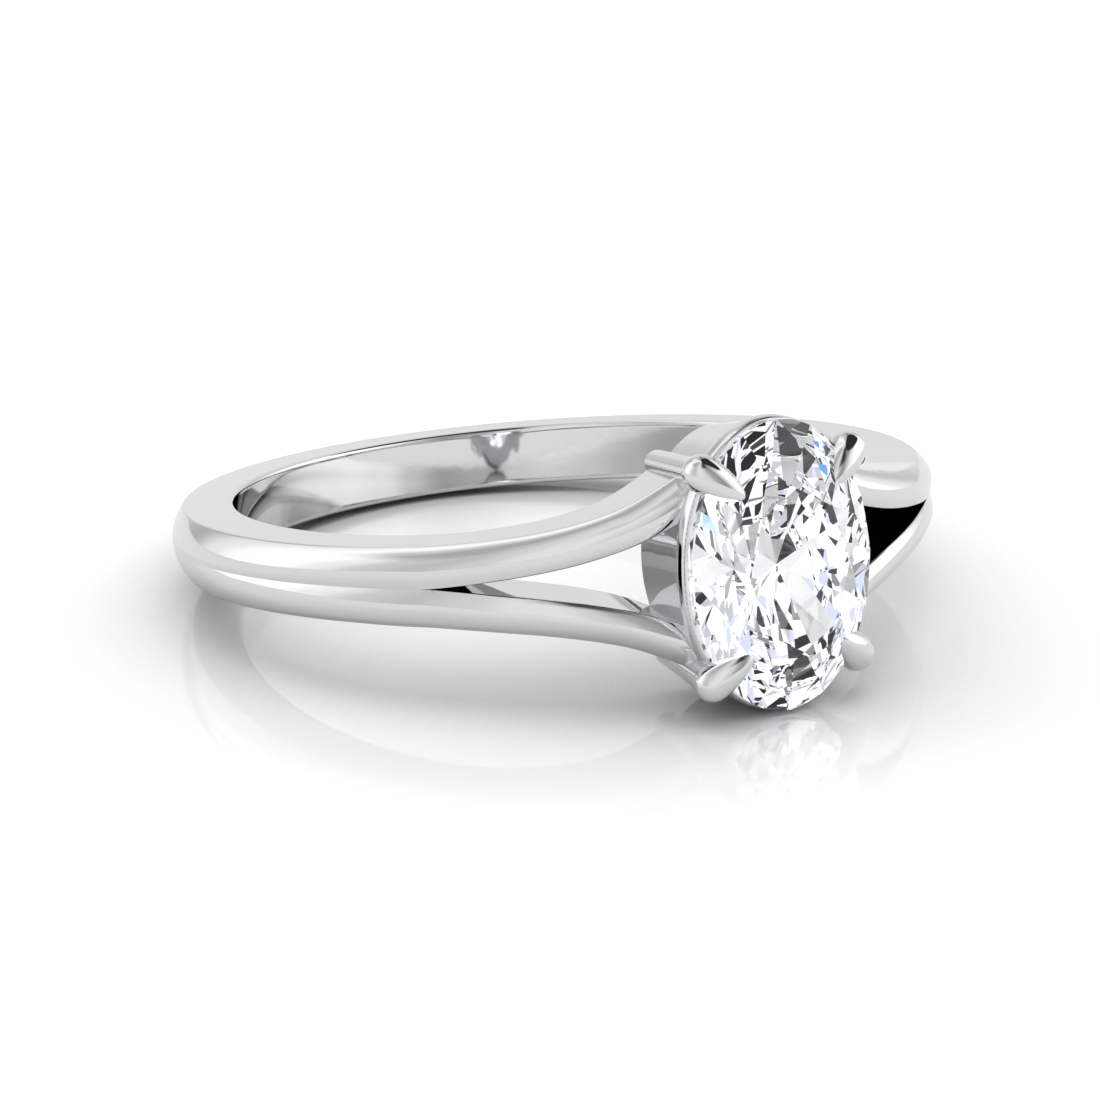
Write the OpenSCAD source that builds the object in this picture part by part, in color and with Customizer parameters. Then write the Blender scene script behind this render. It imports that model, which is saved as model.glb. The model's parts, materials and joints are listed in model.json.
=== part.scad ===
// Split shank ring with an oval stone held by four claws.
// The ring lies on its side, as it rests by itself: on the lower edge of the
// shank's back and on the lower end of the head, with the stone facing -Y.
// Shapes are first made about the finger hole, with the finger along Z, and the
// whole ring is then tipped into its resting place.

/* [Finger hole] */
// Diameter of the finger hole
hole_d = 17.35; // [15:0.05:21]

/* [Shank] */
// Width of the shank at the back, measured along the finger
shank_w = 1.83; // [1.5:0.01:2.4]
// Depth of the shank's flat sides, from the finger hole outwards
side_t = 1.39; // [1.1:0.01:1.8]
// Height of the dome over the flat sides
dome_h = 0.35; // [0.1:0.01:0.5]
// Angle from the stone at which the shank has split in two
split_angle = 46; // [36:1:60]
// Angle from the stone at which the crease between the rails starts
crease_angle = 106; // [80:1:150]
// Depth of the crease between the rails
crease_d = 0.12; // [0.04:0.01:0.2]

/* [Rails] */
// Width of each rail, measured along the finger
rail_w = 0.96; // [0.8:0.01:1.2]
// Half the opening between the rails, close to the head
gap_h = 1; // [0.7:0.01:1.3]
// How far the rails rise outwards towards the head
shoulder_rise = 0.4; // [0:0.01:0.7]

/* [Head] */
// Thickness of the head's wall at the finger hole
wall_t = 0.7; // [0.5:0.01:0.9]
// How far the head's foot is narrower than the stone, each side
foot_in = 0.36; // [0.2:0.01:0.5]
// How far the rim stands out past the stone's girdle
rim_out = 0.07; // [0.05:0.01:0.3]
// Depth of the rim below the girdle
rim_drop = 0.2; // [0.1:0.01:0.4]
// Gap between the metal and the stone
seat_gap = 0.03; // [0.02:0.01:0.06]

/* [Claws] */
// Diameter of the claws' round wires
claw_wire_d = 0.6; // [0.5:0.01:0.8]
// Diameter of the claws' round heads
claw_head_d = 0.78; // [0.66:0.01:1]
// Length of a claw's point, from the middle of its head
claw_point_l = 0.98; // [0.7:0.01:1.1]
// Angle round the stone from its long axis to each claw
claw_angle = 39; // [34:0.5:44]
// How far the middle of a claw's head lies outside the girdle
claw_out = 0.3; // [0.25:0.01:0.36]
// How far a claw leans in towards the finger hole
claw_lean = 0.54; // [0.3:0.01:0.7]
// Angle by which a claw's point rises over the crown
point_rise = 26; // [20:1:32]

/* [Stone] */
// Length of the stone
stone_l = 6.96; // [6:0.01:8]
// Width of the stone
stone_w = 4.97; // [4.4:0.01:6]
// Distance from the middle of the finger hole to the girdle
girdle_at = 11.38; // [11:0.01:12.5]
// Thickness of the girdle
girdle_t = 0.14; // [0.12:0.01:0.2]
// Height of the crown above the girdle
crown_h = 0.68; // [0.5:0.01:0.8]
// Depth of the pavilion below the girdle
pavilion_h = 2.1; // [1.8:0.01:2.3]
// Width of the table as a share of the stone's
table_share = 0.56; // [0.5:0.01:0.6]

/* [Hidden] */
metal = [0.82, 0.83, 0.85];
gem = [0.88, 0.94, 1];
hole_r = hole_d / 2;
side_r = hole_r + side_t;
crest_r = side_r + dome_h;
// How far a part is let into the finger hole before the hole is cut
cut_in = 0.5;
// The claws: the middle of a head, how high it lies over the girdle's middle,
// and the turn of its point from the stone's length, square to the girdle
claw_reach = oval_reach(stone_w / 2, stone_l / 2, claw_angle) + claw_out;
claw_x = claw_reach * sin(claw_angle);
claw_y = claw_reach * cos(claw_angle);
claw_up = 0.02;
point_angle = 52;
// How far a claw leans along the stone's length, as a share of its lean across it
lean_share = 0.34;
// The thick end of a claw's point as a share of its head, and the thin end
neck_share = 0.97;
claw_point_d = 0.1;

// Sections of the rails, from the middle of the head to behind the split.
// AT is the angle as a share of split_angle, GAP the half opening as a share of
// gap_h, WIDTH the rail's width as a share of rail_w, and RISE the share of
// shoulder_rise.
AT = 0;
GAP = 1;
WIDTH = 2;
RISE = 3;
RAIL = [
    [0.00, 1.80, 1.04, 1.00],
    [0.10, 1.70, 1.07, 1.00],
    [0.20, 1.42, 1.12, 1.00],
    [0.30, 1.06, 1.07, 0.98],
    [0.37, 0.835, 1.02, 0.92],
    [0.43, 0.68, 0.99, 0.86],
    [0.54, 0.46, 0.98, 0.78],
    [0.66, 0.29, 0.98, 0.66],
    [0.77, 0.17, 1.00, 0.53],
    [0.88, 0.07, 1.02, 0.38],
    [1.00, 0.00, 1.03, 0.26],
    [1.25, 0.00, 0.985, 0.08],
    [1.60, 0.00, 0.96, 0.00],
    [4.00, 0.00, 0.96, 0.00],
];

// Sections of the head's outer wall, from inside the finger hole to the rim.
// HIGH is a share of the way from the finger hole to the rim's top, and OUT a
// share of the way from the foot's outline to the rim's.
HIGH = 0;
OUT = 1;
WALL = [
    [-0.35, -0.20],
    [0.00, 0.00],
    [0.45, 0.36],
    [0.80, 0.70],
    [0.83, 0.92],
    [0.88, 1.00],
    [0.95, 1.00],
    [1.00, 0.85],
];

// Sections of the well inside the wall. THICK is the wall's thickness there as a
// share of wall_t.
THICK = 2;
WELL = [
    [-0.40, -0.20, 1.00],
    [0.00, 0.00, 1.00],
    [1.10, 1.00, 0.45],
];

// Numbers of steps round the shank, over a dome, round an oval and round a circle
split_steps = 20;
back_steps = 26;
dome_steps = 8;
oval_sides = 48;
round_sides = 48;
bore_sides = 180;
// Where the dome's crest runs once the shank has split, as a share of a rail's width
crest_share = 0.42;
// Distance of the star facets' and the lower halves' inner corners from the
// stone's axis, as shares of the way to the girdle
star_share = 0.78;
keel_share = 0.25;

// Distance from the middle of an oval to its edge, at an angle from its long axis
function oval_reach(half_w, half_l, a) = 1 / sqrt((sin(a) / half_w) ^ 2 + (cos(a) / half_l) ^ 2);

// A smooth step from 0 to 1
function smooth(x) = let (u = min(1, max(0, x))) u * u * (3 - 2 * u);

// The row of a table at or before x
function row_at(table, x, k = 0) = k >= len(table) - 2 || table[k + 1][0] > x ? k : row_at(table, x, k + 1);
// The slope of a column at row k, for a smooth curve through the rows
function slope(table, col, k) =
    let (a = max(0, k - 1), b = min(len(table) - 1, k + 1))
    (table[b][col] - table[a][col]) / (table[b][0] - table[a][0]);
// A smooth curve through a column of a table
function curve(table, col, x) =
    let (
        k = row_at(table, x),
        p = table[k],
        q = table[k + 1],
        d = q[0] - p[0],
        u = min(1, max(0, (x - p[0]) / d)),
        m = slope(table, col, k) * d,
        n = slope(table, col, k + 1) * d
    )
    (2 * u ^ 3 - 3 * u ^ 2 + 1) * p[col] + (u ^ 3 - 2 * u ^ 2 + u) * m
    + (3 * u ^ 2 - 2 * u ^ 3) * q[col] + (u ^ 3 - u ^ 2) * n;

// The rails at an angle from the head: their inner and outer sides and their dome
function parted(a) = smooth((crease_angle - a) / (crease_angle - split_angle));
function rail_low(a) = a >= split_angle ? 0 : gap_h * curve(RAIL, GAP, a / split_angle);
function rail_high(a) =
    rail_low(a) + (1 - parted(a)) * shank_w / 2 + parted(a) * rail_w * curve(RAIL, WIDTH, a / split_angle);
function rail_crest(a) = crest_r + shoulder_rise * curve(RAIL, RISE, a / split_angle);
// The radius of the outer face, from the crease at t = 0 to the flat side at t = 1
function dome_r(a, t) =
    let (c = crest_share * parted(a))
    rail_crest(a)
    - (t < c ? crease_d * parted(a) * ((c - t) / c) ^ 2 : dome_h * ((t - c) / (1 - c)) ^ 2);

// One section of the upper rail, as points of radius and height
function rail_section(a) =
    let (low = rail_low(a), high = rail_high(a))
    concat(
        [[hole_r - cut_in, low]],
        [for (i = [0:dome_steps]) let (t = i / dome_steps) [dome_r(a, t), low + (high - low) * t]],
        [[hole_r - cut_in, high]]
    );
// Angles of the sections, once round from the head
half_turn = concat(
    [for (i = [0:split_steps]) split_angle * i / split_steps],
    [for (i = [1:back_steps]) split_angle + (180 - split_angle) * i / back_steps]
);
last = len(half_turn) - 1;
around = concat(half_turn, [for (i = [1:last - 1]) 360 - half_turn[last - i]]);
turn = len(around);
side_points = dome_steps + 3;

function rail_points(up) = [
    for (a = around)
        let (from_head = a > 180 ? 360 - a : a)
        for (p = rail_section(from_head)) [p[0] * sin(a), -p[0] * cos(a), up * p[1]]
];
shank_points = concat(rail_points(1), rail_points(-1));

// Behind the split the two rails share their crease, so the shank is one solid
function closed(i) =
    let (a = around[i % turn], slack_angle = 0.001)
    a > split_angle - slack_angle && a < 360 - split_angle + slack_angle;
function corner(i, j, up) =
    let (j2 = j % side_points, shared = j2 < 2 && closed(i))
    (up > 0 || shared ? 0 : turn * side_points) + (i % turn) * side_points + j2;
function quad(a, b, c, d, up) = up > 0 ? [[a, b, c], [a, c, d]] : [[c, b, a], [d, c, a]];
shank_faces = [
    for (up = [1, -1])
        for (i = [0:turn - 1])
            for (j = [0:side_points - 1])
                if (!(j == 0 && closed(i) && closed(i + 1)))
                    for (f = quad(
                        corner(i, j, up), corner(i, j + 1, up),
                        corner(i + 1, j + 1, up), corner(i + 1, j, up), up
                    )) f
];

// The head, with its axis along Z from the middle of the finger hole to the stone
rim_top = girdle_at - girdle_t / 2 - rim_drop;
function wall_row(row, inset = 0) = [
    hole_r + row[HIGH] * (rim_top - hole_r),
    stone_w / 2 - foot_in + row[OUT] * (foot_in + rim_out) - inset,
    stone_l / 2 - foot_in + row[OUT] * (foot_in + rim_out) - inset
];
wall_rows = [for (row = WALL) wall_row(row)];
well_rows = [for (row = WELL) wall_row(row, row[THICK] * wall_t)];

// A solid through ovals, each row being a height, a half width and a half length
module oval_loft(rows) {
    n = oval_sides;
    top = len(rows) - 1;
    points = [for (r = rows) for (i = [0:n - 1]) [r[1] * sin(i * 360 / n), r[2] * cos(i * 360 / n), r[0]]];
    sides = [
        for (k = [0:top - 1])
            for (i = [0:n - 1])
                let (a = k * n + i, b = k * n + (i + 1) % n)
                for (f = [[a, b, b + n], [a, b + n, a + n]]) f
    ];
    polyhedron(points, concat(
        sides, [[for (i = [n - 1:-1:0]) i], [for (i = [0:n - 1]) top * n + i]]
    ));
}

// Moves what stands along Z to lie along the way from p to q
module along(p, q) {
    d = q - p;
    translate(p) rotate([0, acos(d.z / norm(d)), atan2(d.y, d.x)]) children();
}

// One claw: a round wire from the finger hole, a round head and a point on the crown
module claw(side, end) {
    head = [side * claw_x, end * claw_y, girdle_at + claw_up];
    foot = [side * (claw_x - claw_lean), end * (claw_y - claw_lean * lean_share), hole_r - cut_in];
    inward = cos(point_rise);
    lie = [-side * sin(point_angle) * inward, -end * cos(point_angle) * inward, sin(point_rise)];
    along(foot, head) cylinder(h = norm(head - foot), d = claw_wire_d, $fn = round_sides);
    translate(head) sphere(d = claw_head_d, $fn = round_sides);
    along(head, head + lie)
        cylinder(h = claw_point_l, d1 = claw_head_d * neck_share, d2 = claw_point_d, $fn = round_sides);
}

module shank_shape() {
    polyhedron(shank_points, shank_faces);
}

// The stone: a brilliant cut worked out on a circle and stretched to the oval.
// Its table is an octagon, each of whose corners heads a kite that ends at the
// girdle, and the star and half facets follow from the kites' planes.
kite_angle = 45;
half_angle = kite_angle / 2;
quarter_angle = kite_angle / 4;
crown_slope = crown_h / (1 - table_share);
star_z = (1 - star_share * cos(half_angle)) * crown_slope;
keel_z = (1 - keel_share * cos(half_angle)) * pavilion_h;
// How far a half facet dips below the level of its two corners on the girdle
function dip(r, z) = z / ((1 - r) * cos(quarter_angle)) * (1 - cos(quarter_angle));

// The stone's corners, with its axis along Z and its girdle at 0, grown all round
function stone_corner(grow, r, a, z) =
    [r * (stone_w / 2 + grow) * sin(a), r * (stone_l / 2 + grow) * cos(a), z];
function stone_points(grow) = let (up = girdle_t / 2 + grow) concat(
    [for (k = [0:7]) stone_corner(grow, table_share, k * kite_angle, up + crown_h)],
    [for (k = [0:7]) stone_corner(grow, star_share, k * kite_angle + half_angle, up + star_z)],
    [for (k = [0:31]) stone_corner(grow, 1, k * quarter_angle, up - (k % 2) * dip(star_share, star_z))],
    [for (k = [0:31]) stone_corner(grow, 1, k * quarter_angle, -up + (k % 2) * dip(keel_share, keel_z))],
    [for (k = [0:7]) stone_corner(grow, keel_share, k * kite_angle + half_angle, -up - keel_z)],
    [[0, 0, -up - pavilion_h]]
);
// Where each kind of corner stands in that list, counted round the stone
function table_at(k) = k % 8;
function star_at(k) = 8 + (k + 8) % 8;
function upper_at(k) = 16 + k % 32;
function lower_at(k) = 48 + k % 32;
function keel_at(k) = 80 + (k + 8) % 8;
function culet_at() = 88;
eighths = [0:7];
// The table, stars, kites and upper halves; the girdle; the lower halves and mains
stone_faces = concat(
    [[for (k = eighths) table_at(k)]],
    [for (k = eighths) [table_at(k), star_at(k), table_at(k + 1)]],
    [for (k = eighths) [table_at(k), star_at(k - 1), upper_at(4 * k), star_at(k)]],
    [for (k = eighths) [star_at(k), upper_at(4 * k), upper_at(4 * k + 1), upper_at(4 * k + 2)]],
    [for (k = eighths) [star_at(k), upper_at(4 * k + 2), upper_at(4 * k + 3), upper_at(4 * k + 4)]],
    [for (k = [0:31]) [lower_at(k), lower_at(k + 1), upper_at(k + 1), upper_at(k)]],
    [for (k = eighths) [keel_at(k), lower_at(4 * k + 2), lower_at(4 * k + 1), lower_at(4 * k)]],
    [for (k = eighths) [keel_at(k), lower_at(4 * k + 4), lower_at(4 * k + 3), lower_at(4 * k + 2)]],
    [for (k = eighths) [culet_at(), keel_at(k), lower_at(4 * k), keel_at(k - 1)]]
);

module stone_shape(grow) {
    polyhedron(stone_points(grow), stone_faces);
}

// Turns what stands along Z to point at the stone
module to_stone() {
    rotate([90, 0, 0]) children();
}

module metal_work() {
    difference() {
        union() {
            shank_shape();
            to_stone() {
                oval_loft(wall_rows);
                for (side = [-1, 1]) for (end = [-1, 1]) claw(side, end);
            }
        }
        to_stone() oval_loft(well_rows);
        to_stone() translate([0, 0, girdle_at]) stone_shape(seat_gap);
        cylinder(h = 4 * stone_l, d = hole_d, center = true, $fn = bore_sides);
    }
}

// The ring's rest: tipped until the back's lower edge and the lowest of the head's
// rim and the stone's girdle stand on one level, then centred over the origin
function tip_to(row) = atan2(row[2] - shank_w / 2, side_r + row[0]);
rest_tip = max(concat([for (r = wall_rows) tip_to(r)], [tip_to([girdle_at, 0, stone_l / 2])]));
lift = side_r * sin(rest_tip) + shank_w / 2 * cos(rest_tip);
function reach_y(points) = [for (p = points) p.y * cos(rest_tip) + p.z * sin(rest_tip)];
stone_front = max([for (p = stone_points(0)) (girdle_at + p.z) * cos(rest_tip) - p.y * sin(rest_tip)]);
centre_y = (max(reach_y(shank_points)) - stone_front) / 2;

module rest() {
    translate([0, -centre_y, lift]) rotate([-rest_tip, 0, 0]) children();
}

module shank_with_head() {
    color(metal) rest() metal_work();
}

module oval_stone() {
    color(gem) rest() to_stone() translate([0, 0, girdle_at]) stone_shape(0);
}

shank_with_head();
oval_stone();
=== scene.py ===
# %% [markdown]
# # A split shank ring in Blender
# The real ring is cast and polished white gold: one shank that parts into two rails,
# a cup-shaped head with a rim, four claws, and an oval brilliant held by them. The
# metal is soldered into one piece, so its parts may run into each other here, and the
# stone is a piece of its own.
#
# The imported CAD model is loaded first. It gives the size and the place of everything,
# and the pieces made below take the places of its two solids.

# %% Load the CAD frame
import json
import math
import bpy
from mathutils import Matrix, Vector


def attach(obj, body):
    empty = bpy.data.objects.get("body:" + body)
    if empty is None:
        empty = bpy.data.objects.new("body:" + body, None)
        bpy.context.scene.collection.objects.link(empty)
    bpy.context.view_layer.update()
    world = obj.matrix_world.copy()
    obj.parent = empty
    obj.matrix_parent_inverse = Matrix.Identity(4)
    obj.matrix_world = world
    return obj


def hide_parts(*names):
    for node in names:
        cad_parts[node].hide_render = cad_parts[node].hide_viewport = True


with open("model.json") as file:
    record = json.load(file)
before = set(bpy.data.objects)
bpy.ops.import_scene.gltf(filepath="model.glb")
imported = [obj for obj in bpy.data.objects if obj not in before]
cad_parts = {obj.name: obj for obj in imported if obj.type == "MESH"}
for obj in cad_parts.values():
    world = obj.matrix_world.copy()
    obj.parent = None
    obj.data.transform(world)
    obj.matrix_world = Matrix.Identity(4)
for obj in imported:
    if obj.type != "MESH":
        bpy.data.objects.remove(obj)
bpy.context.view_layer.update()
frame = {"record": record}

# %% [markdown]
# ## Two frames
# A jeweller thinks of the ring about its finger hole: the finger along Z, the stone
# facing -Y, in millimetres. The pieces are modelled in that frame, because Blender's
# merge distances suit numbers near 1. Each finished piece is then shrunk to metres and
# tipped to the ring's rest on the floor. The finger hole's mount in the record holds
# the place and the tilt, so nothing is typed twice.

# %% The way from the ring's own frame to its rest
finger_hole = frame["record"]["mounts"][0]
hole_place = Vector(finger_hole["pos_m"])
tip_angle = math.atan2(finger_hole["axis"][1], finger_hole["axis"][2])
RING_TO_REST = (Matrix.Translation(hole_place) @ Matrix.Rotation(-tip_angle, 4, "X")
                @ Matrix.Scale(0.001, 4))
print("tipped by", round(math.degrees(tip_angle), 3), "degrees")

# %% [markdown]
# Blender's operators work on what is selected, so four small helpers do the selecting.


# %% Picking, placing, editing and shading a piece
def pick(piece):
    """Only this piece is selected and active."""
    bpy.ops.object.select_all(action="DESELECT")
    piece.select_set(True)
    bpy.context.view_layer.objects.active = piece


def settle(piece):
    """Applies the piece's own place, then sets it down in the resting frame."""
    pick(piece)
    bpy.ops.object.transform_apply(location=True, rotation=True, scale=True)
    piece.matrix_world = RING_TO_REST
    bpy.ops.object.transform_apply(location=True, rotation=True, scale=True)


def edit(piece, action, **words):
    """Runs one edit mode operator on the whole of a piece."""
    pick(piece)
    bpy.ops.object.mode_set(mode="EDIT")
    bpy.ops.mesh.select_all(action="SELECT")
    action(**words)
    bpy.ops.object.mode_set(mode="OBJECT")


def polish_surface(piece, sharpest):
    """Turns all faces outwards and shades the edges flatter than this angle smooth."""
    edit(piece, bpy.ops.mesh.normals_make_consistent, inside=False)
    pick(piece)
    bpy.ops.object.shade_smooth_by_angle(angle=math.radians(sharpest))
    print(piece.name + ":", len(piece.data.polygons), "faces")


# %% [markdown]
# ## The sizes
# These are the sizes that the part's source names, in millimetres and degrees. The
# rails' table says how the half opening, a rail's width and its rise change on the way
# round from the stone, as shares of the three sizes before it. Polishing takes a
# little off the outside, which also keeps the rounded ring within the CAD model's box.

# %% Sizes of the shank and its rails
hole_r = finger_hole["dims"]["r_mm"]
shank_w, side_t, dome_h = 1.83, 1.39, 0.35
split_angle, crease_angle, crease_d, crest_share = 46, 106, 0.12, 0.42
rail_w, gap_h, shoulder_rise = 0.96, 1.0, 0.4
polish_loss = 0.012
crest_r = hole_r + side_t + dome_h - polish_loss
GAP, WIDTH, RISE = 1, 2, 3
RAIL = [  # share of split_angle, of gap_h, of rail_w, of shoulder_rise
    (0.00, 1.80, 1.04, 1.00), (0.10, 1.70, 1.07, 1.00), (0.20, 1.42, 1.12, 1.00),
    (0.30, 1.06, 1.07, 0.98), (0.37, 0.835, 1.02, 0.92), (0.43, 0.68, 0.99, 0.86),
    (0.54, 0.46, 0.98, 0.78), (0.66, 0.29, 0.98, 0.66), (0.77, 0.17, 1.00, 0.53),
    (0.88, 0.07, 1.02, 0.38), (1.00, 0.00, 1.03, 0.26), (1.25, 0.00, 0.985, 0.08),
    (1.60, 0.00, 0.96, 0.00), (4.00, 0.00, 0.96, 0.00),
]

# %% Sizes of the head, claws and stone
stone_l, stone_w, girdle_at, girdle_t = 6.96, 4.97, 11.38, 0.14
crown_h, pavilion_h, table_share = 0.68, 2.1, 0.56
star_share, keel_share = 0.78, 0.25
wall_t, foot_in, rim_out, rim_drop, seat_gap = 0.7, 0.36, 0.07, 0.2, 0.03
claw_x, claw_y, claw_up, claw_lean, lean_share = 2.0526, 2.5348, 0.02, 0.54, 0.34
claw_wire_d, claw_head_d, claw_point_l = 0.6, 0.78, 0.98
point_rise, point_angle = math.radians(26), math.radians(52)
rim_top = girdle_at - girdle_t / 2 - rim_drop

# %% [markdown]
# ## Curves through a table, and soft corners
# The rails' table is read with a smooth curve, as the source does. Cast metal that has
# been polished has no knife edges, so every corner of a section is rounded here: a
# short Bezier curve takes the place of the corner, with one more point on each side
# of it. Those two points keep the flats beside it shading flat.


# %% Reading a table smoothly
def clamp(x):
    return min(1.0, max(0.0, x))


def smooth_step(x):
    """A soft rise from 0 to 1."""
    u = clamp(x)
    return u * u * (3 - 2 * u)


def along_table(table, column, x):
    """A smooth curve through one column of a table."""
    k = max([0] + [i for i in range(len(table) - 1) if table[i][0] <= x])
    k = min(k, len(table) - 2)
    p, q = table[k], table[k + 1]
    d = q[0] - p[0]
    u = clamp((x - p[0]) / d)

    def lean(i):
        a, b = table[max(0, i - 1)], table[min(len(table) - 1, i + 1)]
        return (b[column] - a[column]) / (b[0] - a[0]) * d
    return ((2 * u**3 - 3 * u**2 + 1) * p[column] + (u**3 - 2 * u**2 + u) * lean(k)
            + (3 * u**2 - 2 * u**3) * q[column] + (u**3 - u**2) * lean(k + 1))


# %% Rounding the corners of a section
corner_steps = 5
guard_reach = 1.6  # how far the two points beside a corner stand from it, in radii


def soften(corners):
    """A closed section from (point, radius): a radius of None is a plain point."""
    points = []
    for i, (here, radius) in enumerate(corners):
        if radius is None:
            points.append(here)
            continue
        before = (corners[i - 1][0] - here).normalized()
        after = (corners[(i + 1) % len(corners)][0] - here).normalized()
        points.append(here + before * radius * guard_reach)
        for k in range(corner_steps + 1):
            u = k / corner_steps
            points.append(here + before * radius * (1 - u)**2 + after * radius * u**2)
        points.append(here + after * radius * guard_reach)
    return points


# %% [markdown]
# ## The shank's section
# Cut across, a rail is a flat finger side, a flat top, a dome outside and a flat side
# at the opening. Behind the split the opening is shut: the two rails share a crease,
# which fades away towards the back. The finger side's edge is rounded more, for
# comfort, than the crisp outer ones. At the opening the rounding grows with the slit,
# as no tool gets into its narrow end.

# %% One section of the upper rail
comfort_r, crisp_r = 0.13, 0.05
slit_low, slit_open = 0.02, 0.15
dome_steps, dome_margin = 14, 0.1


def parted(a):
    """How far the rails have parted, from 0 where the crease starts to 1 at the split."""
    return smooth_step((crease_angle - a) / (crease_angle - split_angle))


def rail_low(a):
    """The height of the rail's side at the opening."""
    return 0.0 if a >= split_angle else gap_h * along_table(RAIL, GAP, a / split_angle)


def rail_high(a):
    """The height of the rail's flat top."""
    whole = (1 - parted(a)) * shank_w / 2
    return rail_low(a) + whole + parted(a) * rail_w * along_table(RAIL, WIDTH, a / split_angle)


def dome_r(a, t):
    """The outer face's radius, from the crease at t = 0 to the flat top at t = 1."""
    c = crest_share * parted(a)
    crest = crest_r + shoulder_rise * along_table(RAIL, RISE, a / split_angle)
    if t < c:
        return crest - crease_d * parted(a) * ((c - t) / c)**2
    return crest - dome_h * ((t - c) / (1 - c))**2


def rail_section(a):
    """Points of (radius, height), all in one order, for the angle a from the stone."""
    low, high = rail_low(a), rail_high(a)
    opening_r = crisp_r * clamp(low / slit_open) if low > slit_low else 0.0
    crease_r, flat_r = dome_r(a, 0), dome_r(a, 1)
    corners = [(Vector((hole_r, low)), opening_r), (Vector((hole_r, (low + high) / 2)), None),
               (Vector((hole_r, high)), comfort_r),
               (Vector(((hole_r + flat_r) / 2, high)), None), (Vector((flat_r, high)), crisp_r)]
    for k in range(dome_steps + 1):
        t = 1 - dome_margin - (1 - 2 * dome_margin) * k / dome_steps
        corners.append((Vector((dome_r(a, t), low + (high - low) * t)), None))
    corners += [(Vector((crease_r, low)), opening_r),
                (Vector(((hole_r + crease_r) / 2, low)), None)]
    return soften(corners)


section_points = len(rail_section(crease_angle))
print("points in a rail's section:", section_points)

# %% [markdown]
# ## The head's wall
# The head is a cup: an oval wall that leans out from the finger hole to a rim. Its
# sections all have one profile, which is stretched to the oval. The rails end inside
# the wall, so the wall's outline is needed before the rails can be cut to length.

# %% The wall's outlines
WALL = [  # share of the way from the finger hole to the rim's top, share of the way out
    (-0.35, -0.20), (0.0, 0.0), (0.45, 0.36), (0.80, 0.70), (0.83, 0.92), (0.88, 1.0),
    (0.95, 1.0), (1.0, 0.85),
]
well_thins, well_leans, well_foot = 0.5, 0.91, -0.2


def height_share(h):
    return (h - hole_r) / (rim_top - hole_r)


def height_at(share):
    return hole_r + (rim_top - hole_r) * share


def oval_half(out, inset=0):
    """Half the width and length of the oval at a share of the way out, less an inset."""
    grown = out * (foot_in + rim_out) - inset
    return stone_w / 2 - foot_in + grown, stone_l / 2 - foot_in + grown


def wall_half(h):
    """Half the wall's outer width and length at the height h from the hole's middle."""
    share = min(WALL[-1][0], max(WALL[0][0], height_share(h)))
    k = max(i for i in range(len(WALL) - 1) if WALL[i][0] <= share)
    u = (share - WALL[k][0]) / (WALL[k + 1][0] - WALL[k][0])
    return oval_half(WALL[k][1] + u * (WALL[k + 1][1] - WALL[k][1]))


def well_half(h):
    """Half the width and length of the well inside the wall."""
    share = height_share(h)
    inset = wall_t * (1 - well_thins * clamp(share))
    return oval_half(min(1.0, max(well_foot, share * well_leans)), inset)


def oval_x(half, z):
    """How wide an oval of these half sizes is at the distance z along it."""
    return half[0] * math.sqrt(max(0.0, 1 - (z / half[1])**2))


# %% [markdown]
# ## Making the shank
# A torus has just the right make-up: rings of points all round, each ring a closed
# section. A torus is added with a ring for every section, and its points are then
# moved to their places. At the head the rings lean, so that the rails' ends follow
# the middle of the oval wall and nothing of them shows in the well.

# %% Where each ring of points stands
open_rings, back_rings = 52, 75
ring_count = 2 * (open_rings + back_rings) + 1
first_guess, guess_rounds = 8.0, 12


def end_angle(j):
    """The angle at which the j-th line of points along a rail ends inside the wall."""
    a = first_guess
    for _ in range(guess_rounds):
        r, z = rail_section(a)[j]
        h = r * math.cos(math.radians(a))
        middle = (oval_x(wall_half(h), z) + oval_x(well_half(h), z)) / 2
        a = (a + math.degrees(math.asin(middle / r))) / 2
    return a


END = [end_angle(j) for j in range(section_points)]


def ring_angle(i, j):
    """The signed angle from the stone of point j of ring i."""
    side = 1 if i <= ring_count // 2 else -1
    k = i if side > 0 else ring_count - 1 - i
    if k <= open_rings:
        return side * (END[j] + (split_angle - END[j]) * k / open_rings)
    return side * (split_angle + (180 - split_angle) * (k - open_rings) / back_rings)


print("the rails end between", round(min(END), 2), "and", round(max(END), 2), "degrees")

# %% [markdown]
# The rails' finger sides and the head's foot would lie on the very same cylinder
# where they cross. So the last three degrees of the rails dip a hundredth of a
# millimetre below it, and one clean surface shows.

# %% The upper rail
end_dip, dip_degrees, finger_side_t = 0.012, 3, 0.02
bpy.ops.object.select_all(action="DESELECT")
bpy.ops.mesh.primitive_torus_add(major_segments=ring_count, minor_segments=section_points,
                                 major_radius=crest_r, minor_radius=0.5)
shank = bpy.context.object
shank.name = "shank"
SECTIONS = {}
for i in range(ring_count):
    for j in range(section_points):
        a = ring_angle(i, j)
        key = round(abs(a), 6)
        if key not in SECTIONS:
            SECTIONS[key] = rail_section(abs(a))
        r, z = SECTIONS[key][j]
        if r < hole_r + finger_side_t:
            r += end_dip * clamp((END[j] + dip_degrees - abs(a)) / dip_degrees)
        turn = math.radians(a)
        point = shank.data.vertices[i * section_points + j]
        point.co = (r * math.sin(turn), -r * math.cos(turn), z)
print("points in the upper rail:", len(shank.data.vertices))

# %% [markdown]
# The torus runs on through the head, and behind the split its lower side lies on the
# ring's middle plane, where the lower rail will join it. Both kinds of face are
# deleted, the open ends are filled, and a mirrored copy makes the lower rail. Merging
# the doubles then welds the two along the crease and inside the finger hole.


# %% Opening the head
on_plane = 1e-5


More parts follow.
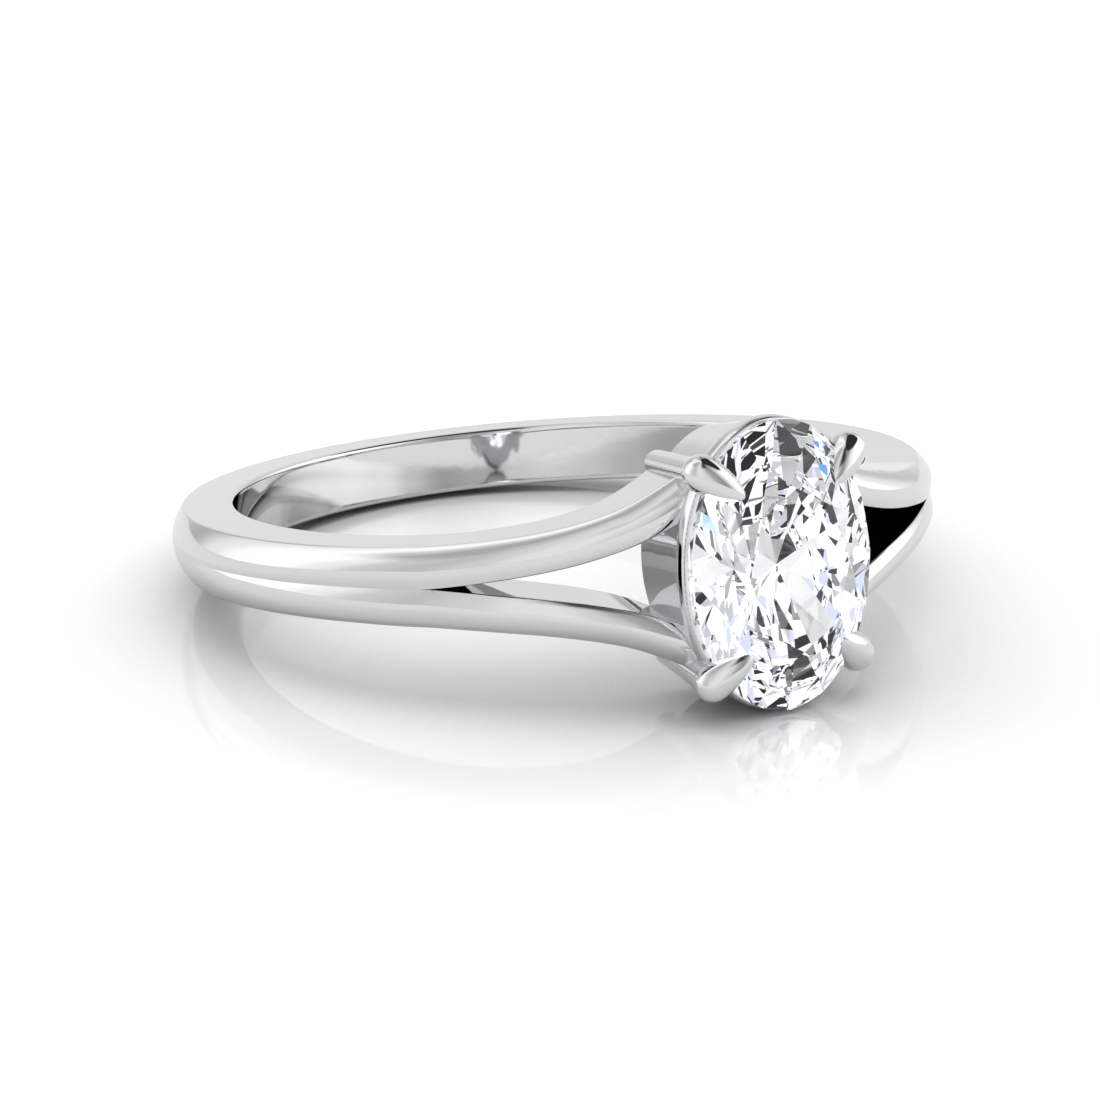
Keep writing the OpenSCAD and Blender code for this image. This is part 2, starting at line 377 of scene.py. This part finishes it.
def across_head(face):
    """Whether a face joins the first ring to the last, through the head."""
    rings = {k // section_points for k in face.vertices}
    return 0 in rings and ring_count - 1 in rings


def inside_weld(face):
    """Whether a face lies on the middle plane, where the lower rail will be welded."""
    return all(abs(shank.data.vertices[k].co.z) < on_plane for k in face.vertices)


def delete_faces(test, kind):
    """Deletes the shank's faces that pass a test."""
    pick(shank)
    bpy.ops.object.mode_set(mode="EDIT")
    bpy.ops.mesh.select_all(action="DESELECT")
    bpy.ops.mesh.select_mode(type="FACE")
    bpy.ops.object.mode_set(mode="OBJECT")
    for face in shank.data.polygons:
        face.select = test(face)
    bpy.ops.object.mode_set(mode="EDIT")
    bpy.ops.mesh.delete(type=kind)
    bpy.ops.mesh.select_mode(type="VERT")
    bpy.ops.object.mode_set(mode="OBJECT")


def fill_ring(i):
    """Fills the open end at ring i with one face."""
    bpy.ops.object.mode_set(mode="EDIT")
    bpy.ops.mesh.select_all(action="DESELECT")
    bpy.ops.object.mode_set(mode="OBJECT")
    for k in range(i * section_points, (i + 1) * section_points):
        shank.data.vertices[k].select = True
    bpy.ops.object.mode_set(mode="EDIT")
    bpy.ops.mesh.edge_face_add()
    bpy.ops.object.mode_set(mode="OBJECT")


delete_faces(across_head, "ONLY_FACE")
fill_ring(0)
fill_ring(ring_count - 1)
delete_faces(inside_weld, "FACE")

# %% The lower rail
weld_reach, sliver = 4e-4, 1e-4
rail_sharpest = 35
pick(shank)
bpy.ops.object.duplicate()
lower = bpy.context.object
lower.scale.z = -1
bpy.ops.object.transform_apply(location=True, rotation=True, scale=True)
shank.select_set(True)
bpy.context.view_layer.objects.active = shank
bpy.ops.object.join()
edit(shank, bpy.ops.mesh.remove_doubles, threshold=weld_reach)
edit(shank, bpy.ops.mesh.dissolve_degenerate, threshold=sliver)
edit(shank, bpy.ops.mesh.delete_loose)
polish_surface(shank, rail_sharpest)

# %% [markdown]
# ## Making the head
# The head is another torus, of upright sections this time. Every section starts at the
# finger hole, goes up the leaning wall, round the rim, down the seat that is cut to the
# stone's slope, and down the well. Its foot follows the finger hole's curve, so the
# foot of each section is dropped on to that curve.

# %% Sections of the head
head_rings, foot_rounds = 160, 8
edge_r, rim_r = 0.02, 0.04
WALL_STEPS = (0.1, 0.22, 0.34, 0.45, 0.56, 0.68)  # shares of the way up from the foot
LIP = [(0.80, 0.04), (0.83, 0.025), (0.88, 0.045), (0.96, 0.05)]  # share, radius
seat_from, seat_to, seat_air = 0.01, 0.16, 1.5 * seat_gap
WELL_STEPS, FOOT_STEPS = (0.8, 0.6, 0.4, 0.2), (0.25, 0.5, 0.75)


def turn_to_ring(piece):
    """Turns a piece made upright, its axis along Z, to point at the ring's -Y."""
    for v in piece.data.vertices:
        v.co = (v.co.x, -v.co.z, v.co.y)


def on_hole(x):
    """The height over the hole's middle of its wall, at the distance x to one side."""
    return math.sqrt(hole_r**2 - x**2)


def seat_half(h):
    """Half the width and length of the seat, a little wider than the stone."""
    share = 1 - (girdle_at - girdle_t / 2 - h) / pavilion_h
    return stone_w / 2 * share + seat_air, stone_l / 2 * share + seat_air


def head_section(turn):
    """Points of one upright section, for the angle round the oval from its long axis."""
    s, c = math.sin(turn), math.cos(turn)

    def at(half, h):
        return Vector((half[0] * s, half[1] * c, h))
    foot_out, foot_inside = hole_r, hole_r
    for _ in range(foot_rounds):
        foot_out = on_hole(wall_half(foot_out)[0] * s)
        foot_inside = on_hole(well_half(foot_inside)[0] * s)
    outer, inner = at(wall_half(foot_out), foot_out), at(well_half(foot_inside), foot_inside)
    corners = [(outer, edge_r)]
    for share in WALL_STEPS:
        h = foot_out + (rim_top - foot_out) * share
        corners.append((at(wall_half(h), h), None))
    for share, radius in LIP:
        h = height_at(share)
        corners.append((at(wall_half(h), h), radius))
    corners.append((at(wall_half(rim_top), rim_top), rim_r))
    for h in (rim_top - seat_from, rim_top - seat_to):
        corners.append((at(seat_half(h), h), edge_r))
    for share in WELL_STEPS:
        h = foot_inside + (rim_top - seat_to - foot_inside) * share
        corners.append((at(well_half(h), h), None))
    corners.append((inner, edge_r))
    for share in FOOT_STEPS:
        between = inner.lerp(outer, share)
        between.z = on_hole(between.x)
        corners.append((between, None))
    return soften(corners)


head_points = len(head_section(0))
bpy.ops.object.select_all(action="DESELECT")
bpy.ops.mesh.primitive_torus_add(major_segments=head_rings, minor_segments=head_points,
                                 major_radius=3, minor_radius=0.4)
head = bpy.context.object
head.name = "head"
for i in range(head_rings):
    for j, p in enumerate(head_section(2 * math.pi * i / head_rings)):
        head.data.vertices[i * head_points + j].co = p
turn_to_ring(head)
polish_surface(head, rail_sharpest)

# %% [markdown]
# ## Cutting the stone
# A cutter grinds one flat facet after another, and bisect does just that: each call
# slices the stone with a plane, throws the outside away and fills the cut. The stone
# is cut round, as a brilliant with 57 facets, and stretched to its oval afterwards, as
# the planes of a round stone are far easier to state.

# %% The rough and its 57 facets
bpy.ops.object.select_all(action="DESELECT")
bpy.ops.mesh.primitive_cylinder_add(vertices=128, radius=1, depth=6)
stone = bpy.context.object
stone.name = "oval_brilliant"
girdle_up = girdle_t / 2


def corner(r, degrees, z):
    """A facet's corner, by its distance from the axis, its angle and its height."""
    return Vector((r * math.sin(math.radians(degrees)), r * math.cos(math.radians(degrees)), z))


def grind(p, q, s):
    """Cuts along the plane through three points, keeping the stone's middle."""
    normal = (q - p).cross(s - p).normalized()
    if normal.dot(p) < 0:
        normal = -normal
    edit(stone, bpy.ops.mesh.bisect, plane_co=p, plane_no=normal, use_fill=True,
         clear_outer=True, threshold=1e-6)


star_z = (1 - star_share * math.cos(math.pi / 8)) * crown_h / (1 - table_share)
keel_z = (1 - keel_share * math.cos(math.pi / 8)) * pavilion_h
top = girdle_up + crown_h
culet = Vector((0, 0, -girdle_up - pavilion_h))
grind(corner(1, 0, top), corner(1, 120, top), corner(1, 240, top))
for a in range(0, 360, 45):
    sideways = corner(1, a + 90, 0)
    grind(corner(1, a, girdle_up), corner(1, a, girdle_up) + sideways, corner(table_share, a, top))
    grind(culet, culet + sideways, corner(1, a, -girdle_up))
for a in range(0, 360, 45):
    star = corner(star_share, a + 22.5, girdle_up + star_z)
    keel = corner(keel_share, a + 22.5, -girdle_up - keel_z)
    grind(corner(table_share, a, top), corner(table_share, a + 45, top), star)
    for b in (a, a + 22.5):
        grind(star, corner(1, b, girdle_up), corner(1, b + 22.5, girdle_up))
        grind(keel, corner(1, b, -girdle_up), corner(1, b + 22.5, -girdle_up))
print("stone:", len(stone.data.polygons), "faces")

# %% From round to oval, and into its seat
stone.scale = (stone_w / 2, stone_l / 2, 1)
stone.location.z = girdle_at
pick(stone)
bpy.ops.object.transform_apply(location=True, rotation=True, scale=True)
turn_to_ring(stone)
edit(stone, bpy.ops.mesh.remove_doubles, threshold=sliver)
edit(stone, bpy.ops.mesh.normals_make_consistent, inside=False)
pick(stone)
bpy.ops.object.shade_flat()

# %% A burr, a little larger than the stone, to cut the claws with
bpy.ops.object.duplicate()
burr = bpy.context.object
burr.name = "burr"
grown = [1 + seat_gap / half for half in (stone_w / 2, crown_h / 2, stone_l / 2)]
edit(burr, bpy.ops.transform.resize, value=grown, center_override=(0, -girdle_at, 0))

# %% [markdown]
# ## Making a claw
# A claw is a round wire that thickens to a ball at the girdle and is filed to a point
# that lies over the crown. Ball and point together are a drop, so they start as one
# sphere, whose front half is drawn out and narrowed. The source has a plain ball and a
# cone there; the drop is a little fuller and longer, lower and nearer to the stone.
# Drop and wire are remeshed into one skin of tiny squares, and a few rounds of
# smoothing melt the joint as a polishing mop does. The burr then takes away what would
# press into the stone, and the wire is cut off level with the finger hole.

# %% Where the claw's wire and drop stand
drop_fuller, drop_longer, drop_lower, drop_nearer = 0.1, 0.22, 0.1, 0.05
foot_below, wire_thickens, drop_narrowing = 0.5, 1.15, 1.45
claw_head = Vector((claw_x, claw_y - drop_nearer, girdle_at + claw_up - drop_lower))
claw_foot = Vector((claw_x - claw_lean, claw_y - claw_lean * lean_share, hole_r - foot_below))
claw_point = Vector((-math.sin(point_angle) * math.cos(point_rise),
                     -math.cos(point_angle) * math.cos(point_rise), math.sin(point_rise)))
drop_r, drop_l = (claw_head_d + drop_fuller) / 2, claw_point_l + drop_longer
way = claw_head - claw_foot
print("a claw's wire is", round(way.length, 2), "mm long, its drop", round(drop_r + drop_l, 2))

# %% Wire and drop as one skin
skin_square, mop_strength, mop_rounds = 0.025, 0.5, 5
bpy.ops.object.select_all(action="DESELECT")
bpy.ops.mesh.primitive_cone_add(vertices=64, radius1=claw_wire_d / 2,
                                radius2=claw_wire_d / 2 * wire_thickens, depth=way.length,
                                location=claw_foot.lerp(claw_head, 0.5),
                                rotation=way.to_track_quat("Z", "Y").to_euler())
wire = bpy.context.object
bpy.ops.mesh.primitive_uv_sphere_add(segments=64, ring_count=48, radius=1)
claw = bpy.context.object
claw.name = "claw_1"
for v in claw.data.vertices:
    out = math.hypot(v.co.x, v.co.y)
    if v.co.z > 0 and out > 0:
        narrow = out**drop_narrowing / out
        v.co = (v.co.x * narrow, v.co.y * narrow, v.co.z * drop_l / drop_r)
    v.co *= drop_r + polish_loss
claw.rotation_euler = claw_point.to_track_quat("Z", "Y").to_euler()
claw.location = claw_head
wire.select_set(True)
bpy.context.view_layer.objects.active = claw
bpy.ops.object.transform_apply(location=True, rotation=True, scale=True)
bpy.ops.object.join()
claw.data.remesh_voxel_size = skin_square
bpy.ops.object.voxel_remesh()
bpy.ops.object.modifier_add(type="SMOOTH")
claw.modifiers[-1].factor = mop_strength
claw.modifiers[-1].iterations = mop_rounds
bpy.ops.object.modifier_apply(modifier=claw.modifiers[-1].name)
print("claw before cutting:", len(claw.data.polygons), "faces")

# %% Cutting the claw to the stone and to the finger hole, and the other three claws
foot_clear, claw_sharpest = 0.004, 50
foot_side = Vector((claw_foot.x, 0, claw_foot.z)).normalized()
edit(claw, bpy.ops.mesh.bisect, plane_co=foot_side * (hole_r + foot_clear), plane_no=foot_side,
     use_fill=True, clear_inner=True)
turn_to_ring(claw)
pick(claw)
bpy.ops.object.modifier_add(type="BOOLEAN")
claw.modifiers[-1].object = burr
bpy.ops.object.modifier_apply(modifier=claw.modifiers[-1].name)
claws = [claw]
for name, across, along in (("claw_2", -1, 1), ("claw_3", 1, -1), ("claw_4", -1, -1)):
    pick(claw)
    bpy.ops.object.duplicate()
    twin = bpy.context.object
    twin.name = name
    twin.scale = (across, 1, along)
    bpy.ops.object.transform_apply(location=True, rotation=True, scale=True)
    claws.append(twin)
for piece in claws:
    polish_surface(piece, claw_sharpest)
bpy.data.objects.remove(burr)

# %% Setting everything down
metal_pieces = [shank, head] + claws
for piece in metal_pieces + [stone]:
    settle(piece)
    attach(piece, "root")
for piece in metal_pieces:
    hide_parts("shank_with_head")
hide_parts("oval_stone")
print("set down:", len(metal_pieces), "pieces of metal and a stone")

# %% [markdown]
# ## Making node trees
# A material is a tree of nodes. Two helpers keep the trees below readable: one fills
# a node's inputs, each with a value or from another node's output, and one adds a
# node, sets its options and fills its inputs.


# %% Adding nodes
def feed(tree, node, inputs):
    """Fills inputs: a socket is linked, anything else is the input's own value."""
    for name, given in inputs.items():
        if isinstance(given, bpy.types.NodeSocket):
            tree.links.new(given, node.inputs[name])
        else:
            node.inputs[name].default_value = given


def add_node(tree, kind, inputs, **options):
    """Adds a node, sets its options, fills its inputs and gives back its outputs."""
    node = tree.nodes.new(kind)
    for name, option in options.items():
        setattr(node, name, option)
    feed(tree, node, inputs)
    return node.outputs


def grey(tone):
    """A grey as red, green, blue and opacity."""
    return tone, tone, tone, 1


# %% [markdown]
# ## Polish
# Both the metal and the stone are polished, and no polish is perfectly even: the mop
# leaves slow waves, which make mirror images swim a little, and hair lines finer than
# the eye can part, which blur them here and there. One node group makes both out of
# two noises in Object coordinates, and each material uses it with its own values.

# %% The polish node group
polish = bpy.data.node_groups.new("polish", "ShaderNodeTree")
for name, value in (("Waves in a metre", 1500.0), ("Lines in a metre", 40000.0),
                    ("Roughness", 0.03), ("Spread", 0.02)):
    socket = polish.interface.new_socket(name=name, in_out="INPUT", socket_type="NodeSocketFloat")
    socket.default_value = value
for name in ("Roughness", "Height"):
    polish.interface.new_socket(name=name, in_out="OUTPUT", socket_type="NodeSocketFloat")
given = polish.nodes.new("NodeGroupInput").outputs
place = add_node(polish, "ShaderNodeTexCoord", {})["Object"]
waves = add_node(polish, "ShaderNodeTexNoise",
                 {"Vector": place, "Scale": given["Waves in a metre"], "Detail": 2})["Fac"]
lines = add_node(polish, "ShaderNodeTexNoise",
                 {"Vector": place, "Scale": given["Lines in a metre"], "Detail": 2})["Fac"]
both = add_node(polish, "ShaderNodeMath", {0: waves, 1: lines}, operation="ADD")["Value"]
even = add_node(polish, "ShaderNodeMath", {0: both, 1: 1}, operation="SUBTRACT")["Value"]
rough = add_node(polish, "ShaderNodeMath", {0: even, 1: given["Spread"], 2: given["Roughness"]},
                 operation="MULTIPLY_ADD")["Value"]
feed(polish, polish.nodes.new("NodeGroupOutput"), {"Roughness": rough, "Height": waves})
print("nodes in the polish group:", len(polish.nodes))


# %% A material with the polish group beside its shader
def new_material(name, finish, pieces):
    """Gives the pieces a new material; finish holds the polish group's values."""
    material = bpy.data.materials.new(name)
    material.use_nodes = True
    tree = material.node_tree
    polished = add_node(tree, "ShaderNodeGroup", finish, node_tree=polish)
    shader = tree.nodes["Principled BSDF"]
    feed(tree, shader, {"Roughness": polished["Roughness"]})
    for piece in pieces:
        piece.data.materials.clear()
        piece.data.materials.append(material)
    return material, tree, shader, polished


# %% White gold
white_gold, gold_tree, gold_shader, gold_polish = new_material(
    "white_gold_polished", {"Waves in a metre": 900, "Roughness": 0.05, "Spread": 0.03},
    metal_pieces)
mop_waves = add_node(gold_tree, "ShaderNodeBump", {
    "Strength": 0.25, "Distance": 0.00001, "Height": gold_polish["Height"]})["Normal"]
feed(gold_tree, gold_shader, {"Base Color": (0.74, 0.74, 0.75, 1), "Metallic": 1.0,
                              "Normal": mop_waves})
print(white_gold.name, "on", len(metal_pieces), "pieces")

# %% The clear stone
diamond_ior, table_gloss = 2.417, 0.3
clear_stone, stone_tree, stone_shader, _ = new_material(
    "brilliant_clear", {"Roughness": 0.0, "Spread": 0.002}, [stone])
feed(stone_tree, stone_shader, {
    "Base Color": (0.98, 0.99, 1, 1), "IOR": diamond_ior, "Transmission Weight": 1.0,
    "Specular Tint": grey(table_gloss)})
print(clear_stone.name, "on", stone.name)

# %% [markdown]
# Light goes to and fro inside a cut stone many times before it comes out, split into
# its colours. Followed to its end, every path comes out somewhere and the stone looks
# like frost. So a path that is still inside after its last turn ends in painted light
# there: the stone's surface itself glows in a flash of grey, white, pale violet or blue,
# or shows black as painted shade. Which one is drawn by lot for the facet and for a cell
# about a millimetre wide, so the painted flashes have straight edges, as real ones.

# %% Painted flashes of light and shade for the paths that stay inside
# Painted light: the stone's surface glows in these colours, and black stands for painted shade.
PAINTED_FLASHES = [(0.0, (0.003, 0.003, 0.005)), (0.11, (0.05, 0.05, 0.06)), (0.2, (0.25, 0.25, 0.27)),
           (0.3, (0.55, 0.56, 0.6)), (0.38, (1.0, 1.0, 1.0)), (0.74, (0.68, 0.72, 0.95)),
           (0.84, (1.0, 1.0, 1.0)), (0.975, (0.1, 0.3, 0.8))]
inner_turns, painted_flash_strength = 3, 1.1
cells_in_a_metre, lot = 900, 8.59
place = add_node(stone_tree, "ShaderNodeTexCoord", {})["Object"]
cell = add_node(stone_tree, "ShaderNodeTexVoronoi",
                {"Vector": place, "Scale": cells_in_a_metre})["Color"]
facet = add_node(stone_tree, "ShaderNodeNewGeometry", {})["True Normal"]
facet_cell = add_node(stone_tree, "ShaderNodeVectorMath", {0: facet, 1: cell})["Vector"]
lots = add_node(stone_tree, "ShaderNodeVectorMath", {0: facet_cell, 1: (lot, lot, lot)})["Vector"]
drawn = add_node(stone_tree, "ShaderNodeTexWhiteNoise", {"Vector": lots},
                 noise_dimensions="3D")["Value"]


def add_ramp(tree, name, stops, place, blend):
    """A colour ramp of (place from 0 to 1, colour); the first stop stands at 0."""
    colours = add_node(tree, "ShaderNodeValToRGB", {"Fac": place}, name=name)["Color"]
    ramp = colours.node.color_ramp
    ramp.interpolation = blend
    ramp.elements.remove(ramp.elements[1])
    for at, colour in stops:
        spot = ramp.elements.new(at) if at > 0 else ramp.elements[0]
        spot.color = (*colour[:3], 1)
    return colours


painted_flash = add_ramp(stone_tree, "painted_flash", PAINTED_FLASHES, drawn, "CONSTANT")

# %% The painted flash glows at the last turn only
depth = add_node(stone_tree, "ShaderNodeLightPath", {})["Ray Depth"]
at_last = add_node(stone_tree, "ShaderNodeMath", {0: depth, 1: inner_turns + 1, 2: 0.5},
                   operation="COMPARE")["Value"]
painted_flash_glow = add_node(stone_tree, "ShaderNodeMix", {"Factor": at_last, "A": grey(0), "B": painted_flash},
                 data_type="RGBA")["Result"]
# The stone's surface glows with this painted light, in place of light leaving the stone.
feed(stone_tree, stone_shader, {"Emission Color": painted_flash_glow, "Emission Strength": painted_flash_strength})
clear_stone.cycles.emission_sampling = "NONE"
print("flashes:", len(PAINTED_FLASHES), "tones after", inner_turns, "turns")

# %% [markdown]
# ## The studio
# Jewellery is shot on glossy white, inside a tent of soft light. The floor is a plain
# pale sheet. Painted shade darkens its colour where the ring keeps the tent's light off
# it, more deeply for the camera than in the metal's mirror images. Inside the ring, with
# metal all round it, a patch of painted shade darkens it still more in the mirror images.
# The sheet's gloss fades outwards, so that only the lower part of the ring is mirrored
# in it.

# %% The floor's sheet
sheet_gap = 0.00002
bpy.ops.object.select_all(action="DESELECT")
bpy.ops.mesh.primitive_plane_add(size=1.2, location=(0, 0, -sheet_gap))
floor = bpy.context.object
floor.name = "floor"
floor_sheet = bpy.data.materials.new("white_sheet")
floor_sheet.use_nodes = True
floor_tree = floor_sheet.node_tree
floor_shader = floor_tree.nodes["Principled BSDF"]
floor.data.materials.append(floor_sheet)

# %% Its painted shade, seen by the camera and mirrored by the metal
shade_reach, seen_shade, mirrored_shade, sheet_white = 0.0112, 0.05, 0.45, 0.95
shade_patch_middle, shade_patch_from, shade_patch_to, shade_patch_tone = (-0.003, 0.002, 0), 0.003, 0.0095, 0.3
seen = add_node(floor_tree, "ShaderNodeLightPath", {})["Is Camera Ray"]
open_sky = add_node(floor_tree, "ShaderNodeAmbientOcclusion", {"Distance": shade_reach},
                    samples=8)["AO"]
deepest = add_node(floor_tree, "ShaderNodeMath",
                   {0: seen, 1: seen_shade - mirrored_shade, 2: mirrored_shade},
                   operation="MULTIPLY_ADD")["Value"]
# Painted shade: the floor's colour is darkened by ambient occlusion near the ring.
painted_shade = add_node(floor_tree, "ShaderNodeMapRange",
                 {"Value": open_sky, "To Min": deepest, "To Max": sheet_white})["Result"]
place = add_node(floor_tree, "ShaderNodeTexCoord", {})["Object"]
from_shade_patch = add_node(floor_tree, "ShaderNodeVectorMath", {0: place, 1: shade_patch_middle},
                      operation="DISTANCE")["Value"]
# Painted shade: a darker patch inside the ring, shown only in the metal's mirror images.
painted_shade_patch = add_node(floor_tree, "ShaderNodeMapRange",
                 {"Value": from_shade_patch, "From Min": shade_patch_from, "From Max": shade_patch_to,
                  "To Min": shade_patch_tone}, interpolation_type="SMOOTHSTEP")["Result"]
painted_shade_patch = add_node(floor_tree, "ShaderNodeMath", {0: painted_shade_patch, 1: seen}, operation="MAXIMUM")["Value"]
# The floor's colour, with the painted shade in it.
sheet_with_painted_shade = add_node(floor_tree, "ShaderNodeMath", {0: painted_shade_patch, 1: painted_shade}, operation="MULTIPLY")["Value"]

# %% Its gloss, and a little more light for the camera
gloss, gloss_from, gloss_to, sheet_roughness, lift = 0.45, 0.012, 0.016, 0.04, 0.21
from_ring = add_node(floor_tree, "ShaderNodeVectorMath", {0: place}, operation="LENGTH")["Value"]
fading = add_node(floor_tree, "ShaderNodeMapRange",
                  {"Value": from_ring, "From Min": gloss_from, "From Max": gloss_to,
                   "To Min": gloss, "To Max": 0.0}, interpolation_type="SMOOTHSTEP")["Result"]
feed(floor_tree, floor_shader, {"Base Color": sheet_with_painted_shade, "Roughness": sheet_roughness,
                                "Specular IOR Level": fading})
lifted = add_node(floor_tree, "ShaderNodeBsdfDiffuse", {"Color": grey(lift)})["BSDF"]
for_camera = add_node(floor_tree, "ShaderNodeMixShader", {"Fac": seen, 2: lifted})["Shader"]
both = add_node(floor_tree, "ShaderNodeAddShader",
                {0: floor_shader.outputs["BSDF"], 1: for_camera})["Shader"]
feed(floor_tree, floor_tree.nodes["Material Output"], {"Surface": both})
print("nodes in the floor's material:", len(floor_tree.nodes))

# %% [markdown]
# ## The tent
# The world is a ring of soft panels round the table. Polished metal shows nothing but
# what it mirrors, so the panels' brightness is what shapes it: white ones behind on
# the left and on the right, a black card in front of the stone, and greys between.
# One colour ramp goes round at the height of the ring and another higher up, and a
# second black card hangs over the right shoulder. The camera sees the tent as pure
# white, and light that has gone through the stone counts for a little more.

# %% The panels: degrees round from the stone, and brightness
LOW = [(-180, 0.62), (-165, 0.47), (-150, 0.92), (-138, 1.15), (-120, 1.22), (-105, 0.98),
       (-90, 0.68), (-75, 0.59), (-60, 0.71), (-45, 0.85), (-30, 0.87), (-15, 0.72), (0, 0.42),
       (14, 0.32), (26, 0.6), (38, 1.0), (55, 1.2), (75, 1.25), (95, 1.15), (107, 0.9),
       (120, 0.6), (135, 0.74), (150, 0.73), (165, 0.78), (180, 0.62)]
HIGH = [(-180, 0.6), (-165, 1.15), (-150, 0.9), (-135, 1.15), (-120, 0.68), (-105, 0.46),
        (-90, 0.46), (-75, 0.6), (-60, 0.74), (-45, 0.8), (-30, 0.55), (-15, 0.06), (5, 0.05),
        (20, 0.3), (40, 0.5), (60, 0.05), (75, 0.05), (90, 0.3), (105, 0.75), (135, 0.4),
        (150, 0.25), (165, 0.55), (180, 0.6)]
brightest = 2  # a ramp's colours stop at 1, so it holds brightness as a share of this
world = bpy.data.worlds.new("tent")
bpy.context.scene.world = world
world.use_nodes = True
tent_tree = world.node_tree
tent_tree.nodes.clear()
towards = add_node(tent_tree, "ShaderNodeTexCoord", {})["Generated"]
split = add_node(tent_tree, "ShaderNodeSeparateXYZ", {"Vector": towards})
front = add_node(tent_tree, "ShaderNodeMath", {0: split["Y"], 1: -1},
                 operation="MULTIPLY")["Value"]
angle = add_node(tent_tree, "ShaderNodeMath", {0: split["X"], 1: front},
                 operation="ARCTAN2")["Value"]
turned = add_node(tent_tree, "ShaderNodeMath", {0: angle, 1: 1 / (2 * math.pi), 2: 0.5},
                  operation="MULTIPLY_ADD")["Value"]


def panels(name, stops):
    """Grey panels round the ring, as one colour ramp over the angle."""
    spots = [((degrees + 180) / 360, grey(bright / brightest)) for degrees, bright in stops]
    return add_ramp(tent_tree, name, spots, turned, "EASE")


low_panels, high_panels = panels("low", LOW), panels("high", HIGH)
print("panels:", len(LOW), "low and", len(HIGH), "high")

# %% Low panels, high panels and the top, one above the other
LOW_TO_HIGH, HIGH_TO_TOP = (38, 55), (80, 88)  # degrees above the horizon
top_tone = 0.85


def rising(start, end, below, above):
    """Mixes from one colour below to another above, by the height of the direction."""
    height = add_node(tent_tree, "ShaderNodeMapRange", {
        "Value": split["Z"], "From Min": math.sin(math.radians(start)),
        "From Max": math.sin(math.radians(end))}, interpolation_type="SMOOTHSTEP")["Result"]
    return add_node(tent_tree, "ShaderNodeMix", {"Factor": height, "A": below, "B": above},
                    data_type="RGBA")["Result"]


sides = rising(*LOW_TO_HIGH, low_panels, high_panels)
white_tent = rising(*HIGH_TO_TOP, sides, grey(top_tone / brightest))

# %% The black card over the right shoulder
card_angle, card_height, card_half, card_blur = 80, 65, 23, 2
card_tone = 0.015
card_out = math.cos(math.radians(card_height))
card_way = (math.sin(math.radians(card_angle)) * card_out,
            -math.cos(math.radians(card_angle)) * card_out, math.sin(math.radians(card_height)))
nearness = add_node(tent_tree, "ShaderNodeVectorMath", {0: towards, 1: card_way},
                    operation="DOT_PRODUCT")["Value"]
card = add_node(tent_tree, "ShaderNodeMapRange", {
    "Value": nearness, "From Min": math.cos(math.radians(card_half + card_blur)),
    "From Max": math.cos(math.radians(card_half))})["Result"]
tent = add_node(tent_tree, "ShaderNodeMix",
                {"Factor": card, "A": white_tent, "B": grey(card_tone)},
                data_type="RGBA")["Result"]
print("the card hangs", card_angle, "degrees round and", card_height, "degrees up")

# %% The tent as the metal, the stone and the camera see it
tent_strength, more_through_stone = 2.33, 0.53
path = add_node(tent_tree, "ShaderNodeLightPath", {})
strength = add_node(tent_tree, "ShaderNodeMath", {
    0: path["Is Transmission Ray"], 1: more_through_stone, 2: tent_strength},
    operation="MULTIPLY_ADD")["Value"]
mirrored = add_node(tent_tree, "ShaderNodeBackground",
                    {"Color": tent, "Strength": strength})["Background"]
backdrop = add_node(tent_tree, "ShaderNodeBackground", {"Color": grey(1)})["Background"]
surface = add_node(tent_tree, "ShaderNodeMixShader",
                   {"Fac": path["Is Camera Ray"], 1: mirrored, 2: backdrop})["Shader"]
add_node(tent_tree, "ShaderNodeOutputWorld", {"Surface": surface})
print("nodes in the tent:", len(tent_tree.nodes))

# %% [markdown]
# ## The camera
# The photograph's view was solved from the ring's edges. The camera stands in front, to
# the left of the stone's own direction and a little above the ring's plane, and looks
# through a lens of 75 mm. Its place is given about the finger hole and then tipped as
# the ring is. Each kind of ray may turn only so often: the gaps between the rails stay
# black because light that has met metal four times is let go, as in the photograph.

# %% The photograph's view
view_turn, view_up, view_roll = (math.radians(v) for v in (-27.881, 11.629, -3.997))
view_far, view_right, view_down = 63.744, -0.00946, -1.2786
back = Vector((math.sin(view_turn) * math.cos(view_up), -math.cos(view_turn) * math.cos(view_up),
               math.sin(view_up)))
level_right = Vector((math.cos(view_turn), math.sin(view_turn), 0))
level_up = back.cross(level_right)
right = math.cos(view_roll) * level_right + math.sin(view_roll) * level_up
up = -math.sin(view_roll) * level_right + math.cos(view_roll) * level_up
stand = back * view_far + right * view_right + up * view_down
to_rest = RING_TO_REST.to_3x3().normalized()
camera_data = bpy.data.cameras.new("camera")
camera_data.lens = 75.118
camera_data.clip_start = 0.001
camera = bpy.data.objects.new("camera", camera_data)
bpy.context.collection.objects.link(camera)
facing = Matrix((to_rest @ right, to_rest @ up, to_rest @ back)).transposed()
camera.matrix_world = Matrix.Translation(RING_TO_REST @ stand) @ facing.to_4x4()
print("camera at", [round(1000 * c, 1) for c in camera.matrix_world.translation], "mm")

# %% How colours are shown, and how often each kind of ray may turn
clear_turns = 24
scene = bpy.context.scene
scene.camera = camera
scene.view_settings.view_transform = "Standard"
scene.cycles.max_bounces = clear_turns
scene.cycles.transmission_bounces = clear_turns
scene.cycles.glossy_bounces = inner_turns

# %% One soft light over the front, too soft to show in the metal
key_place = Vector((0.1, -0.15, 0.5))
key_data = bpy.data.lights.new("key", "AREA")
key_data.size = 0.5
key_data.energy = 1.0
key = bpy.data.objects.new("key", key_data)
key.location = key_place
key.visible_glossy = False
key.rotation_euler = key_place.to_track_quat("Z", "Y").to_euler()
bpy.context.collection.objects.link(key)
